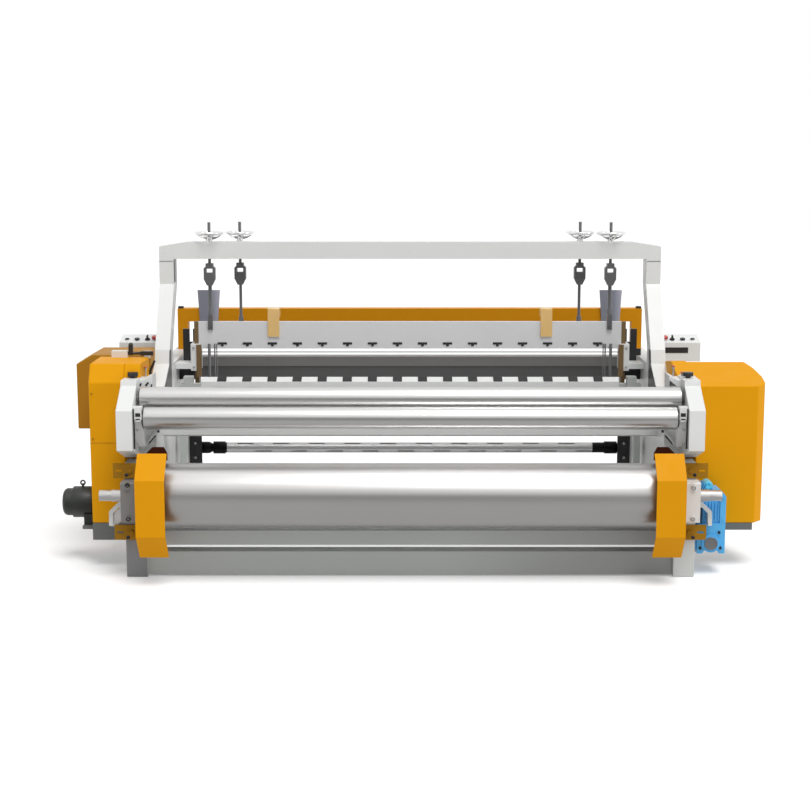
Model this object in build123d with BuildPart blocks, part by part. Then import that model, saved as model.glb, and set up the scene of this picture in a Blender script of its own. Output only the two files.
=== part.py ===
from build123d import *
import os
from math import cos, radians, sin

os.makedirs("parts", exist_ok=True)

# Wire mesh weaving machine, in millimetres: +Z up, the operator's front towards -Y, +X to the right.
# The origin is on the floor, midway between the outer ends in X and in Y.
# Distances called "back" are measured from the front face of the two front legs.

# Whole machine
half_width = 1782.0
depth = 1873.0
guard_reach = 234.0
housing_reach = 430.0

# Side frames with the slanted gantry posts
frame_thick = 78.0
leg_high = 575.0
deck_rise = 385.0
frame_front = 200.0
frame_step = 65.0
shelf_drop = 77.0
foot_long = 280.0
arch_high = 120.0
arch_slant = 40.0
corner_cut = 80.0
foot_slope_front = 506.0
foot_slope_back = 688.0
post_foot_rise = 15.0
ledge_rise = 87.0
ledge_long = 24.0
post_deep = 123.0
gantry_back = 927.0
bend_rise = 418.0
gantry_rise = 553.0
gantry_high = 91.0
gantry_end_high = 67.0
crown_inset = 152.0
hollow_inset = 162.0
gantry_wall = 8.0
gantry_roof = 12.0

# Front base: two legs, two beams across
leg_overhang = 54.0
leg_wide = 104.0
leg_deep = 120.0
base_beam_back = 20.0
base_beam_deep = 90.0
lower_beam_bottom = 8.0
lower_beam_high = 119.0
upper_beam_bottom = 158.0
upper_beam_high = 76.0

# Breast beam under the draw rolls
breast_back = 420.0
breast_deep = 80.0
breast_high = 72.0
breast_drop = 178.0
breast_round = 10.0

# Roll brackets, the faceted front ends of the side frames
bracket_thick = 78.0
bracket_front = -60.0
bracket_back = 300.0
bracket_rise = 10.0
bracket_chin = 72.0
bracket_heel = 158.0
bracket_shoulder = 126.0
bracket_brow = 26.0
gusset_back = 130.0
gusset_sheet = 5.0
gusset_flange = 24.0
gusset_wide = 94.0
gusset_high = 101.0
gusset_drop = 76.0

# Draw rolls
draw_radius = 56.0
journal_radius = 20.0
lower_roll_back = 30.0
lower_roll_drop = 166.0
lower_roll_inset = 47.0
upper_roll_inset = 16.0
nip_gap = 11.8
nip_angle = 43.36
journal_grip = 40.0
running_fit = 0.08
roll_chamfer = 3.0

# Take-up roll, its bearing blocks and the stepped ends of its shaft
take_up_radius = 159.0
take_up_back = -40.0
take_up_drop = 153.0
take_up_inset = 62.0
stub_radius = 30.0
stub_reach = 170.0
step_radius = 27.0
step_long = 60.0
block_overhang = 6.0
block_wide = 72.0
block_deep = 88.0
block_above = 73.0
block_below = 128.0
block_bolt_inset = 23.0
block_round = 8.0

# Sheet guards over the roll ends
guard_gap = 22.0
guard_wide = 142.0
guard_sheet = 4.0
guard_edge_back = -130.0
guard_low_drop = 289.0
guard_knee_drop = 164.0
guard_knee_rise = 112.0
guard_high_rise = 226.0
leaf_rise = 236.0
leaf_foot = 170.0
leaf_back = -10.0
leaf_corner = 56.0
leaf_leg = 24.0
tab_reach = 54.0
tab_sheet = 6.0
tab_high = 75.0
tab_slot = 10.0
upper_tab_rise = 79.0
lower_tab_drop = 231.0

# Bent bars on the outer faces of the legs
arm_drop = 30.0
arm_thick = 40.0
arm_reach = 83.0
arm_front = 2.0
arm_deep = 34.0

# Drive housings
housing_gap = 2.0
housing_front = 190.0
housing_back = 520.0
housing_bottom = 230.0
housing_step_back = 310.0
left_housing_wide = 255.0
left_housing_face_drop = 15.0
left_housing_rise = 76.0
left_housing_bevel = 50.0
right_housing_bevel = 43.0
right_housing_face_drop = 30.0
right_housing_rise = 50.0
crank_housing_wide = 388.0
crank_housing_front = 560.0
crank_housing_back = 900.0
crank_housing_drop = 311.0
crank_side_rise = 31.0
crank_housing_rise = 123.0
crank_housing_bevel = 134.0
left_shelf_high = 88.0
right_shelf_high = 36.0
right_shelf_inset = 53.0

# Drive motor on the left housing
motor_long = 175.0
motor_back = 355.0
motor_high = 304.0
motor_radius = 80.0
flange_thick = 16.0
fan_cover_long = 52.0
fan_cover_radius = 70.0
motor_groove = 4.0
motor_plate_top = 198.0
motor_plate_thick = 17.0
motor_plate_long = 66.0
eye_from_end = 99.0

# Worm gearbox on the right leg
gearbox_gap = 18.0
gearbox_wide = 139.0
gearbox_back = 40.0
gearbox_deep = 140.0
gearbox_bottom = 110.0
gearbox_high = 320.0
fin_block_low = 172.0
fin_block_high = 87.0
fin_count = 6
fin_thick = 4.0
fin_depth = 12.0
column_wide = 28.0
output_inset = 86.0
output_rise = 53.0
output_radius = 46.0
output_cap_radius = 33.0

# Heald frames
heald_gap = 124.0
stile_wide = 24.0
frame_bar = 24.0
front_heald_back = 950.0
heald_pitch = 56.0
panel_rise = 64.0
panel_high = 148.0
rear_rail_rise = 70.0
rear_rail_high = 95.0
foot_rail_drop = 320.0
foot_rail_high = 60.0
front_foot_gap = 11.0
rear_foot_gap = 42.0
clamp_count = 16
clamp_end = 128.125
clamp_wide = 50.0
clamp_head = 11.0
clamp_stem = 14.0
clamp_rise = 13.0
clamp_high = 21.0
clamp_deep = 8.0
clamp_proud = 3.0
clamp_fit = 0.3
rod_lap = 27.0
rod_sizes = ((58.0, 8.0), (87.0, 4.0), (98.0, 3.0))

# Hangers, adjusting screws and handwheels
front_hanger_inset = 66.0
rear_hanger_inset = 226.0
screw_radius = 8.0
screw_reach = 104.0
screw_gap = 1.5
yoke_wide = 62.0
yoke_neck = 40.0
yoke_deep = 44.0
yoke_foot = 28.0
yoke_high = 119.0
yoke_drop = 26.0
neck_high = 17.0
yoke_chamfer = 9.0
yoke_taper = 34.0
window_wide = 34.0
window_high = 22.0
window_drop = 50.0
hanger_radius = 10.0
clevis_wide = 26.0
clevis_rise = 40.0
clevis_grip = 44.0
sleeve_high = 30.0
wheel_radius = 71.0
rim_radius = 7.0
wheel_rise = 45.0
hub_radius = 17.0
hub_high = 28.0
spoke_count = 5
spoke_wide = 9.0
seat_gap = 0.3

# Lift arms under the heald frames
lift_travel = 60.0
lift_arm_long = 230.0
lift_arm_thick = 20.0
lift_arm_gap = 3.0
lift_swing = 7.5
lift_roller_radius = 18.0
lift_hub_radius = 26.0
lift_shaft_radius = 18.0
shaft_end = 12.0

# Sley with its race board
board_gap = 17.0
board_back = 880.0
board_deep = 45.0
board_drop = 170.0
board_front_high = 62.0
board_rear_high = 82.0
guide_thick = 4.0
sword_inset = 59.0
sword_thick = 35.0
rocker_back = 862.0
rocker_high = 180.0
rocker_radius = 28.0
rocker_hub = 46.0
sley_beam_high = 55.0

# Rear of the machine
portal_inset = 20.0
portal_rear_gap = 119.0
portal_deep = 80.0
portal_rise = 160.0
portal_high = 74.0
rest_clear = 220.0
rest_deep = 90.0
rest_drop = 18.0
rest_lip = 54.0
rest_high = 117.0
rest_setback = 6.0
rest_bolt_pitch = 265.0
base_tie_gap = 20.0
base_tie_deep = 80.0
base_tie_bottom = 20.0
base_tie_high = 120.0
roller_rear_gap = 189.0
roller_high = 383.0
roller_radius = 30.0
roller_pitch = 207.0
slot_long = 94.0
slot_wide = 13.0
coupling_radius = 36.0
roller_journal = 15.0
plate_lead = 50.0
plate_thick = 12.0
plate_wide = 72.0
plate_bottom = 200.0
plate_high = 360.0
hook_inset = 440.0
hook_wide = 62.0
hook_sheet = 8.0
hook_drop = 82.0
hook_rise = 71.0
hook_reach = 80.0
hook_clear = 10.0

# Worked out from the sizes above
leg_face = guard_reach - depth / 2
frame_end = depth - guard_reach
frame_outer = half_width - housing_reach
frame_inner = frame_outer - frame_thick
frame_deck = leg_high + deck_rise
frame_shelf = frame_deck - shelf_drop
post_foot_top = frame_deck + post_foot_rise
post_ledge_top = frame_deck + ledge_rise
post_ledge_back = foot_slope_back + ledge_long
post_back_low = post_ledge_back + post_deep
post_bend = frame_deck + bend_rise
gantry_bottom = frame_deck + gantry_rise
gantry_top = gantry_bottom + gantry_high
gantry_end_top = gantry_bottom + gantry_end_high
gantry_crown = frame_outer - crown_inset
gantry_hollow = frame_outer - hollow_inset
leg_outer = frame_outer + leg_overhang
leg_inner = leg_outer - leg_wide
bracket_outer = frame_outer + bracket_thick
bracket_top = frame_deck + bracket_rise
lower_roll_high = frame_deck - lower_roll_drop
lower_roll_half = frame_outer - lower_roll_inset
nip_spacing = 2 * draw_radius + nip_gap
upper_roll_back = lower_roll_back + nip_spacing * cos(radians(nip_angle))
upper_roll_high = lower_roll_high + nip_spacing * sin(radians(nip_angle))
upper_roll_half = frame_outer - upper_roll_inset
take_up_high = leg_high - take_up_drop
take_up_half = frame_outer - take_up_inset
stub_end = frame_outer + stub_reach
block_outer = leg_outer + block_overhang
block_inner = block_outer - block_wide
block_bolt_x = (block_inner + block_outer) / 2
block_bottom = take_up_high - block_below
block_top = take_up_high + block_above
guard_outer = block_inner - guard_gap
guard_inner = guard_outer - guard_wide
tab_outer = leg_outer + tab_reach
housing_inner = bracket_outer + housing_gap
left_housing_outer = frame_outer + left_housing_wide
left_housing_top = frame_deck + left_housing_rise
right_housing_face = half_width - right_housing_bevel
right_shelf_outer = half_width - right_shelf_inset
crank_housing_outer = frame_outer + crank_housing_wide
crank_housing_bottom = frame_deck - crank_housing_drop
crank_housing_top = frame_deck + crank_housing_rise
frame_half = frame_inner - heald_gap
stile_edge = frame_half + stile_wide
rear_heald_back = front_heald_back + heald_pitch
front_heald_mid = front_heald_back + frame_bar / 2
rear_heald_mid = rear_heald_back + frame_bar / 2
panel_bottom = frame_deck + panel_rise
panel_top = panel_bottom + panel_high
rear_rail_bottom = frame_deck + rear_rail_rise
rear_rail_top = rear_rail_bottom + rear_rail_high
foot_rail_bottom = frame_deck - foot_rail_drop
foot_rail_top = foot_rail_bottom + foot_rail_high
front_foot_half = frame_inner - front_foot_gap
rear_foot_half = frame_inner - rear_foot_gap
clamp_pitch = 2 * (frame_half - clamp_end) / (clamp_count - 1)
clamp_base = panel_bottom + clamp_rise
front_hanger_x = frame_half - front_hanger_inset
rear_hanger_x = frame_half - rear_hanger_inset
screw_top = gantry_top + screw_reach
yoke_top = gantry_bottom - yoke_drop
yoke_bottom = yoke_top - yoke_high
board_half = frame_half - board_gap
board_bottom = frame_deck - board_drop
board_front_top = board_bottom + board_front_high
board_rear_top = board_bottom + board_rear_high
sword_inner = frame_inner - sword_inset
sword_outer = sword_inner + sword_thick
portal_half = frame_outer - portal_inset
portal_back = frame_end - portal_rear_gap - portal_deep
portal_bottom = frame_deck + portal_rise
portal_top = portal_bottom + portal_high
rest_back = rear_heald_back + frame_bar + rest_clear
rest_top = frame_deck - rest_drop
roller_back = frame_end - roller_rear_gap
plate_front = roller_back - plate_lead


def back(distance):
    """The y of a point that lies this far behind the legs' front face."""
    return leg_face + distance


def finish(builder, node):
    """Name a finished piece and write it."""
    builder.part.label = node
    export_step(builder.part, f"parts/{node}.step")


def finish_twins(builder, stem):
    """Write the piece for the right side and its mirror image for the left."""
    finish(builder, f"{stem}_right")
    with BuildPart() as twin:
        mirror(builder.part, about=Plane.YZ)
    finish(twin, f"{stem}_left")


def side_plate(outline, x_start, x_end, mode=Mode.ADD):
    """Add a plate between two x values; its outline is (back, height) points."""
    with BuildSketch(Plane.YZ.offset(x_start)) as profile:
        with BuildLine():
            Polyline([(back(y), z) for y, z in outline], close=True)
        make_face()
    extrude(profile.sketch, amount=x_end - x_start, mode=mode)


def face_plate(outline, front, rear, mode=Mode.ADD):
    """Add a plate between two back distances; its outline is (x, height) points."""
    with BuildSketch(Plane.XZ.offset(-back(front))) as profile:
        with BuildLine():
            Polyline(outline, close=True)
        make_face()
    extrude(profile.sketch, amount=front - rear, mode=mode)


def plan_block(plan, bottom, top):
    """Add an upright prism between two heights; its plan is (x, back) points."""
    with BuildSketch(Plane.XY.offset(bottom)) as profile:
        with BuildLine():
            Polyline([(x, back(y)) for x, y in plan], close=True)
        make_face()
    extrude(profile.sketch, amount=top - bottom)


def turn_across(outline, distance, height):
    """Add a solid turned about an axis across the machine; its outline is (x, radius) points."""
    with BuildSketch(Plane.XZ.offset(-back(distance))) as profile:
        with BuildLine():
            Polyline([(x, height + radius) for x, radius in outline], close=True)
        make_face()
    revolve(profile.sketch, axis=Axis((0, back(distance), height), (1, 0, 0)))


def block(x_start, x_end, front, rear, bottom, top, mode=Mode.ADD):
    """Add or cut a square-edged block between its six sides."""
    with Locations(((x_start + x_end) / 2, back((front + rear) / 2), (bottom + top) / 2)):
        Box(abs(x_end - x_start), rear - front, top - bottom, mode=mode)


def cross_rod(x_start, x_end, distance, height, radius, mode=Mode.ADD):
    """Add or cut a round bar that runs across the machine."""
    with Locations(((x_start + x_end) / 2, back(distance), height)):
        Cylinder(radius, abs(x_end - x_start), rotation=(0, 90, 0), mode=mode)


# Front base: legs and the two beams between them
with BuildPart() as front_base:
    block(leg_inner, leg_outer, 0, leg_deep, 0, leg_high)
    mirror(about=Plane.YZ)
    for bottom, high in ((lower_beam_bottom, lower_beam_high), (upper_beam_bottom, upper_beam_high)):
        block(-leg_inner, leg_inner, base_beam_back, base_beam_back + base_beam_deep, bottom, bottom + high)
finish(front_base, "front_base")

# Side frames, one plate each from the feet to the top of the gantry post
side_outline = [
    (leg_deep, 0),
    (leg_deep, leg_high),
    (frame_front, leg_high + frame_step),
    (frame_front, frame_shelf),
    (foot_slope_front, frame_shelf),
    (foot_slope_back, post_foot_top),
    (post_ledge_back, post_ledge_top),
    (gantry_back, post_bend),
    (gantry_back, gantry_bottom),
    (gantry_back + post_deep, gantry_bottom),
    (gantry_back + post_deep, post_bend),
    (post_back_low, post_ledge_top),
    (post_back_low, frame_deck),
    (frame_end - corner_cut, frame_deck),
    (frame_end, frame_deck - corner_cut),
    (frame_end, 0),
    (frame_end - foot_long, 0),
    (frame_end - foot_long - arch_slant, arch_high),
    (leg_deep + foot_long + arch_slant, arch_high),
    (leg_deep + foot_long, 0),
]
front_pivot_back = front_heald_mid + lift_arm_long * cos(radians(lift_swing))
rear_pivot_back = rear_heald_mid + lift_arm_long * cos(radians(lift_swing))
lift_roller_high = foot_rail_bottom - seat_gap - lift_roller_radius
lift_pivot_high = lift_roller_high + lift_arm_long * sin(radians(lift_swing))
with BuildPart() as side_frame:
    side_plate(side_outline, frame_inner, frame_outer)
    cross_rod(frame_inner, frame_outer, rocker_back, rocker_high, rocker_radius + running_fit, Mode.SUBTRACT)
    for pivot in (front_pivot_back, rear_pivot_back):
        cross_rod(frame_inner, frame_outer, pivot, lift_pivot_high, lift_shaft_radius + running_fit, Mode.SUBTRACT)
finish_twins(side_frame, "side_frame")

# Gantry beam, with a clearance hole for each adjusting screw
gantry_outline = [
    (-frame_outer, gantry_bottom),
    (frame_outer, gantry_bottom),
    (frame_outer, gantry_end_top),
    (gantry_crown, gantry_top),
    (-gantry_crown, gantry_top),
    (-frame_outer, gantry_end_top),
]
with BuildPart() as gantry_beam:
    face_plate(gantry_outline, gantry_back, gantry_back + post_deep)
    block(-gantry_hollow, gantry_hollow, gantry_back + gantry_wall, gantry_back + post_deep - gantry_wall,
          gantry_bottom, gantry_top - gantry_roof, Mode.SUBTRACT)
    for x, distance in ((front_hanger_x, front_heald_mid), (rear_hanger_x, rear_heald_mid)):
        with Locations((x, back(distance), gantry_top), (-x, back(distance), gantry_top)):
            Hole(screw_radius + screw_gap)
finish(gantry_beam, "gantry_beam")

# Breast beam under the draw rolls
breast_top = frame_shelf - breast_drop
with BuildPart() as breast_beam:
    block(-frame_inner, frame_inner, breast_back, breast_back + breast_deep, breast_top - breast_high, breast_top)
    fillet(breast_beam.edges().filter_by(Axis.X), breast_round)
finish(breast_beam, "breast_beam")

# Roll brackets: faceted castings that carry the draw rolls ahead of the side frames,
# each with a flanged gusset on its inner side
bracket_outline = [
    (bracket_front, leg_high + bracket_chin),
    (bracket_front, bracket_top - bracket_shoulder),
    (upper_roll_back - 25, bracket_top - bracket_brow),
    (upper_roll_back - 20, bracket_top),
    (bracket_back, bracket_top),
    (bracket_back, leg_high),
    (bracket_heel, leg_high),
]
gusset_tip = frame_outer - gusset_wide
gusset_top = lower_roll_high - gusset_drop
gusset_foot = gusset_top - gusset_high
knob_x = frame_outer + 33
knob_back = 200.0
knob_radius = 26.0
knob_pin = 6.0
pin_deep = 20.0
with BuildPart() as roll_bracket:
    side_plate(bracket_outline, frame_outer, bracket_outer)
    face_plate([(frame_outer, gusset_top), (gusset_tip, gusset_top), (frame_outer, gusset_foot)],
               gusset_back, gusset_back + gusset_sheet)
    face_plate([(gusset_tip, gusset_top), (gusset_tip - gusset_sheet, gusset_top - gusset_sheet),
                (frame_outer, gusset_foot - 2 * gusset_sheet), (frame_outer, gusset_foot)],
               gusset_back, gusset_back + gusset_flange)
    for distance, height in ((lower_roll_back, lower_roll_high), (upper_roll_back, upper_roll_high)):
        cross_rod(frame_outer, frame_outer + journal_grip + 1, distance, height,
                  journal_radius + running_fit, Mode.SUBTRACT)
    with Locations((knob_x, back(knob_back), bracket_top)):
        Hole(knob_pin + running_fit, depth=pin_deep + 1)
finish_twins(roll_bracket, "roll_bracket")

# Nip arms: white castings between the lower roll's ends and the roll brackets
nip_inner = lower_roll_half + 5
nip_boss = 34.0
nip_head = 64.0
nip_drop = 144.0
nip_window = 26.0
with BuildPart() as nip_arms:
    cross_rod(nip_inner, frame_outer, lower_roll_back, lower_roll_high, nip_boss)
    block(nip_inner, frame_outer, lower_roll_back - 62, lower_roll_back - 12,
          lower_roll_high, lower_roll_high + nip_head)
    side_plate([(lower_roll_back - nip_boss, lower_roll_high), (lower_roll_back + nip_boss, lower_roll_high),
                (lower_roll_back + 52, lower_roll_high - nip_drop + 18),
                (lower_roll_back + 40, lower_roll_high - nip_drop),
                (lower_roll_back + 14, lower_roll_high - nip_drop)],
               nip_inner, frame_outer)
    block(nip_inner, nip_inner + 12, lower_roll_back - 50, lower_roll_back - 50 + nip_window,
          lower_roll_high + 24, lower_roll_high + 24 + nip_window, Mode.SUBTRACT)
    cross_rod(nip_inner, frame_outer, lower_roll_back, lower_roll_high, journal_radius + running_fit, Mode.SUBTRACT)
    mirror(about=Plane.YZ)
finish(nip_arms, "nip_arms")


def roll(half_length, distance, height, radius, journal, journal_end):
    """A turned roll with a journal at each end, its axis across the machine."""
    with BuildPart() as turned:
        turn_across([(-journal_end, 0), (-journal_end, journal), (-half_length, journal),
                     (-half_length, radius - roll_chamfer), (roll_chamfer - half_length, radius),
                     (half_length - roll_chamfer, radius), (half_length, radius - roll_chamfer),
                     (half_length, journal), (journal_end, journal), (journal_end, 0)], distance, height)
    return turned


# The two draw rolls and the take-up roll
lower_draw_roll = roll(lower_roll_half, lower_roll_back, lower_roll_high, draw_radius,
                       journal_radius, frame_outer + journal_grip)
finish(lower_draw_roll, "lower_draw_roll")
upper_draw_roll = roll(upper_roll_half, upper_roll_back, upper_roll_high, draw_radius,
                       journal_radius, frame_outer + journal_grip)
finish(upper_draw_roll, "upper_draw_roll")
take_up_roll = roll(take_up_half, take_up_back, take_up_high, take_up_radius, stub_radius, stub_end - step_long)
with take_up_roll:
    for side in (-1, 1):
        cross_rod(side * (stub_end - step_long), side * stub_end, take_up_back, take_up_high, step_radius)
finish(take_up_roll, "take_up_roll")


# Bearing blocks of the take-up roll, bolted to the fronts of the legs
bolt_radius = 12.0
bolt_head = 9.0
with BuildPart() as take_up_bearings:
    block(block_inner, block_outer, -block_deep, 0, block_bottom, block_top)
    fillet(take_up_bearings.edges().filter_by(Axis.X), block_round)
    for height in (block_bottom + block_bolt_inset, block_top - block_bolt_inset):
        with Locations((block_bolt_x, back(-block_deep), height)):
            Cylinder(bolt_radius, 2 * bolt_head, rotation=(90, 0, 0))
    cross_rod(block_inner, block_outer, take_up_back, take_up_high, stub_radius + running_fit, Mode.SUBTRACT)
    mirror(about=Plane.YZ)
finish(take_up_bearings, "take_up_bearings")

# Folded sheet guards over the ends of the take-up roll, held by two slotted tabs
guard_bottom = take_up_high - guard_low_drop
guard_low_knee = take_up_high - guard_knee_drop
guard_high_knee = take_up_high + guard_knee_rise
guard_top = take_up_high + guard_high_rise
upper_tab_bottom = take_up_high + upper_tab_rise
lower_tab_bottom = take_up_high - lower_tab_drop
leaf_top = take_up_high + leaf_rise
leaf_bottom = take_up_high + leaf_foot
guard_outline = [
    (guard_edge_back, guard_bottom),
    (-guard_reach, guard_low_knee),
    (-guard_reach, guard_high_knee),
    (guard_edge_back, guard_top),
]
guard_hollow = [
    (guard_edge_back + 1, guard_bottom + 1.6 * guard_sheet),
    (guard_sheet - guard_reach, guard_low_knee + guard_sheet / 2),
    (guard_sheet - guard_reach, guard_high_knee - guard_sheet / 2),
    (guard_edge_back + 1, guard_top - 1.6 * guard_sheet),
]
leaf_outline = [
    (guard_outer, upper_tab_bottom),
    (guard_outer, leaf_top - leaf_corner),
    (guard_outer - leaf_corner, leaf_top),
    (guard_inner + 30, leaf_top),
    (guard_inner + 14, leaf_top - 30),
    (guard_inner + 14, leaf_bottom),
    (guard_outer - leaf_leg, leaf_bottom),
    (guard_outer - leaf_leg, upper_tab_bottom),
]
tab_bolt_radius = 10.0
tab_washer = 14.0
cheek_inner = guard_outer - guard_sheet
with BuildPart() as roll_guard:
    side_plate(guard_outline, guard_inner, guard_outer)
    side_plate(guard_hollow, guard_inner, cheek_inner, Mode.SUBTRACT)
    face_plate(leaf_outline, leaf_back - guard_sheet, leaf_back)
    for bottom in (lower_tab_bottom, upper_tab_bottom):
        middle = bottom + tab_high / 2
        block(cheek_inner, guard_outer, guard_edge_back, 0, bottom, bottom + tab_high)
        block(guard_outer, tab_outer, -tab_sheet, 0, bottom, bottom + tab_high)
        block(leg_outer + tab_slot, tab_outer - 12, -tab_sheet, 0, middle - tab_slot / 2, middle + tab_slot / 2,
              Mode.SUBTRACT)
        with Locations((block_bolt_x, back(-tab_sheet), middle)):
            Cylinder(tab_bolt_radius, 16, rotation=(90, 0, 0))
            Cylinder(tab_washer, 4, rotation=(90, 0, 0))
        block(block_bolt_x - 20, block_bolt_x + 20, 0, 20, bottom, bottom + tab_high, Mode.SUBTRACT)
finish_twins(roll_guard, "roll_guard")

# Bent bars on the outer faces of the legs, used when a full roll is lifted out
arm_top = take_up_high - arm_drop
arm_tip = leg_outer + arm_reach
arm_foot = arm_top - 132
arm_outline = [
    (leg_outer, arm_top - arm_thick), (leg_outer, arm_top), (leg_outer + 18, arm_top), (arm_tip - 2, arm_top - 60),
    (arm_tip, arm_foot), (arm_tip - 20, arm_foot), (arm_tip - 22, arm_foot + 62),
    (leg_outer + 32, arm_top - arm_thick),
]
with BuildPart() as unloading_arms:
    face_plate(arm_outline, arm_front, arm_front + arm_deep)
    mirror(about=Plane.YZ)
finish(unloading_arms, "unloading_arms")

# Left drive housing: an L in plan, with a bevel along the front of its top
left_plan = [
    (-left_housing_outer, housing_front),
    (-housing_inner, housing_front),
    (-housing_inner, housing_step_back),
    (-frame_outer, housing_step_back),
    (-frame_outer, housing_back),
    (-left_housing_outer, housing_back),
]
left_profile = [
    (housing_front, housing_bottom),
    (housing_front, frame_deck - left_housing_face_drop),
    (housing_front + left_housing_bevel, left_housing_top),
    (housing_back, left_housing_top),
    (housing_back, housing_bottom),
]
with BuildPart() as drive_housing_left:
    plan_block(left_plan, housing_bottom, left_housing_top)
    side_plate(left_profile, -left_housing_outer, -frame_outer, Mode.INTERSECT)
finish(drive_housing_left, "drive_housing_left")

# Right drive housing: one sloped lid and a wide bevel on its outer front corner
right_plan = [
    (housing_inner, housing_front),
    (right_housing_face, housing_front),
    (half_width, housing_front + 50),
    (half_width, housing_front + 128),
    (half_width - 22, housing_front + 250),
    (right_shelf_outer, housing_back),
    (frame_outer, housing_back),
    (frame_outer, housing_step_back),
    (housing_inner, housing_step_back),
]
right_housing_back_top = frame_deck + right_housing_rise
right_profile = [
    (housing_front, housing_bottom),
    (housing_front, frame_deck - right_housing_face_drop),
    (housing_back, right_housing_back_top),
    (housing_back, housing_bottom),
]
with BuildPart() as drive_housing_right:
    plan_block(right_plan, housing_bottom, right_housing_back_top)
    side_plate(right_profile, frame_outer, half_width, Mode.INTERSECT)
finish(drive_housing_right, "drive_housing_right")

# Crank housing, behind the left drive housing
crank_outline = [
    (-frame_outer, crank_housing_bottom),
    (-crank_housing_outer, crank_housing_bottom),
    (-crank_housing_outer, frame_deck + crank_side_rise),
    (crank_housing_bevel - crank_housing_outer, crank_housing_top),
    (-frame_outer, crank_housing_top),
]
with BuildPart() as crank_housing:
    face_plate(crank_outline, crank_housing_front, crank_housing_back)
finish(crank_housing, "crank_housing")

# Shelves that carry the drive housings, and the foot plate of the motor
with BuildPart() as housing_shelves:
    block(-left_housing_outer, -frame_outer, housing_front, housing_back,
          housing_bottom - left_shelf_high, housing_bottom)
    block(frame_outer, right_shelf_outer, housing_front, housing_back,
          housing_bottom - right_shelf_high, housing_bottom)
    block(-left_housing_outer - motor_plate_long, -left_housing_outer, motor_back - 95, motor_back + 95,
          motor_plate_top - motor_plate_thick, motor_plate_top)
finish(housing_shelves, "housing_shelves")

# Drive motor, turned in one profile: flange, groove, smooth barrel and domed fan cover
motor_end = left_housing_outer + motor_long
flange_start = left_housing_outer + flange_thick
fan_start = motor_end - fan_cover_long
eye_x = motor_end - eye_from_end
motor_outline = [
    (-motor_end, 0),
    (-motor_end, fan_cover_radius),
    (-fan_start, fan_cover_radius),
    (-fan_start, motor_radius),
    (-flange_start - motor_groove, motor_radius),
    (-flange_start - motor_groove, motor_radius - motor_groove),
    (-flange_start, motor_radius - motor_groove),
    (-flange_start, motor_radius),
    (-left_housing_outer, motor_radius),
    (-left_housing_outer, 0),
]
with BuildPart() as drive_motor:
    turn_across(motor_outline, motor_back, motor_high)
    fillet(drive_motor.faces().sort_by(Axis.X)[0].edges(), fan_cover_radius / 3)
    block(-left_housing_outer - motor_plate_long + 4, -flange_start - motor_groove, motor_back - 70,
          motor_back + 70, motor_plate_top, motor_high - 50)
    with Locations((-eye_x, back(motor_back), motor_high + motor_radius + 4)):
        Cylinder(6, 24)
    with Locations((-eye_x, back(motor_back), motor_high + motor_radius + 20)):
        Torus(11, 4, rotation=(90, 0, 0))
finish(drive_motor, "drive_motor")

# Worm gearbox on the outer face of the right leg: footed casting, finned block, bolted column
gearbox_inner = leg_outer + gearbox_gap
gearbox_outer = gearbox_inner + gearbox_wide
gearbox_rear = gearbox_back + gearbox_deep
gearbox_top = gearbox_bottom + gearbox_high
output_x = gearbox_inner + 68
output_high = gearbox_bottom + output_rise
column_inner = gearbox_outer - column_wide
fin_block_inner = gearbox_inner + 24
fin_block_outer = column_inner - 5
fin_bottom = gearbox_bottom + fin_block_low
fin_top = fin_bottom + fin_block_high
foot_notch = 14.0
casting_outline = [
    (gearbox_inner, gearbox_bottom),
    (gearbox_inner + 28, gearbox_bottom),
    (gearbox_inner + 36, gearbox_bottom + foot_notch),
    (column_inner - 8, gearbox_bottom + foot_notch),
    (column_inner, gearbox_bottom),
    (gearbox_outer, gearbox_bottom),
    (gearbox_outer, fin_top + 30),
    (gearbox_outer - 10, fin_top + 43),
    (column_inner, fin_top + 43),
    (column_inner, fin_bottom - 20),
    (gearbox_inner, fin_bottom - 20),
]
crown_outline = [
    (fin_block_inner, fin_bottom - 20),
    (fin_block_outer + 5, fin_bottom - 20),
    (fin_block_outer + 5, gearbox_top),
    (fin_block_outer - 24, gearbox_top),
    (fin_block_inner, gearbox_top - 22),
]
with BuildPart() as gearbox:
    face_plate(casting_outline, gearbox_back, gearbox_rear)
    face_plate(crown_outline, gearbox_back + fin_depth, gearbox_rear - fin_depth)
    with Locations(((fin_block_inner + fin_block_outer) / 2, back(gearbox_back + gearbox_deep / 2),
                    (fin_bottom + fin_top) / 2)):
        with GridLocations((fin_block_outer - fin_block_inner - fin_thick) / (fin_count - 1), 0, fin_count, 1):
            Box(fin_thick, gearbox_deep, fin_block_high)
    block(leg_outer, gearbox_inner + 6, gearbox_back + 10, leg_deep - 5, gearbox_bottom + 20, gearbox_bottom + 140)
    with Locations((output_x, back(gearbox_back), output_high)):
        Cylinder(output_radius, 16, rotation=(90, 0, 0))
        Cylinder(output_cap_radius, 28, rotation=(90, 0, 0))
    for height in (gearbox_bottom + 34, fin_bottom, fin_top + 24):
        with Locations(((column_inner + gearbox_outer) / 2, back(gearbox_back), height)):
            Cylinder(7, 12, rotation=(90, 0, 0))
finish(gearbox, "gearbox")

# Rear of the machine: raised portal, back-rest beam, base beam
with BuildPart() as rear_portal:
    block(-portal_half, portal_half, portal_back, portal_back + portal_deep, portal_bottom, portal_top)
    for side in (-1, 1):
        block(side * frame_inner, side * portal_half, portal_back, portal_back + portal_deep,
              frame_deck, portal_bottom)
finish(rear_portal, "rear_portal")

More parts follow.
